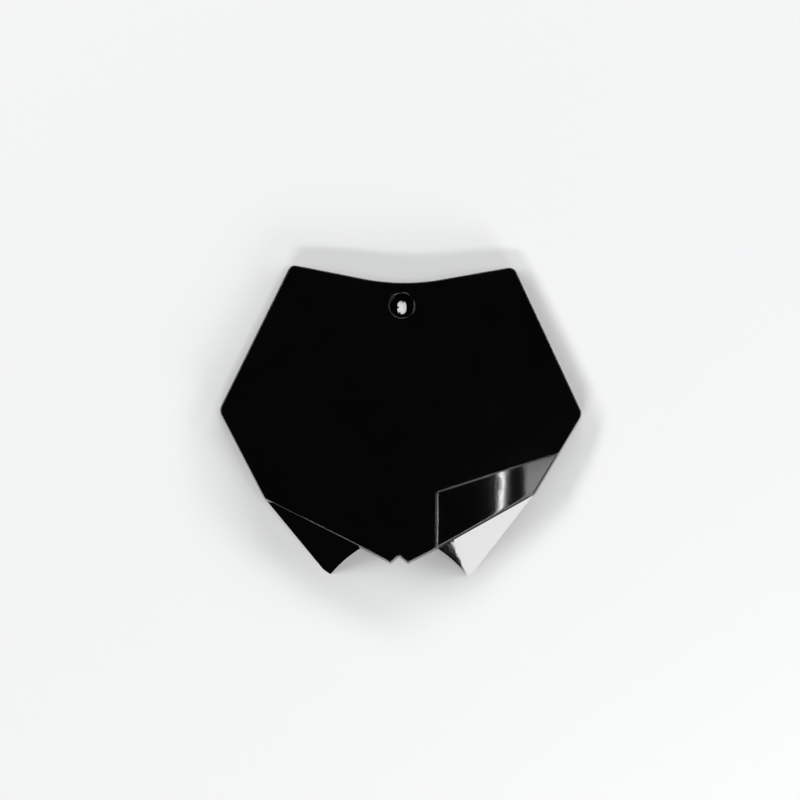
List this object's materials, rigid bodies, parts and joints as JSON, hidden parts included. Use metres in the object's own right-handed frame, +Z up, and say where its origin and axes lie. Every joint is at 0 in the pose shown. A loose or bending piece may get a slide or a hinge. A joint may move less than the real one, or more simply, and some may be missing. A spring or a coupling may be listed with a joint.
{
  "type": "motorcycle front number plate",
  "caption": "Black plastic front number plate for an off-road motorcycle: crowned six-sided shell with a rim, a screw cup, a sunk corner panel and folded-back wings.",
  "frame": {"origin": "on the floor the plate lies on, under the middle of its bounding box", "axes": "+Z up, away from the floor the plate lies on, so the front face looks up and leans 4.9 degrees towards +Y; +X to the right as seen from the front, along the plate's width; +Y towards the plate's top edge"},
  "size_m": [0.26, 0.2217, 0.0309],
  "materials": {
    "gloss_black": "gloss"
  },
  "bodies": {
    "root": {"number_plate": "gloss_black"}
  },
  "joints": []
}
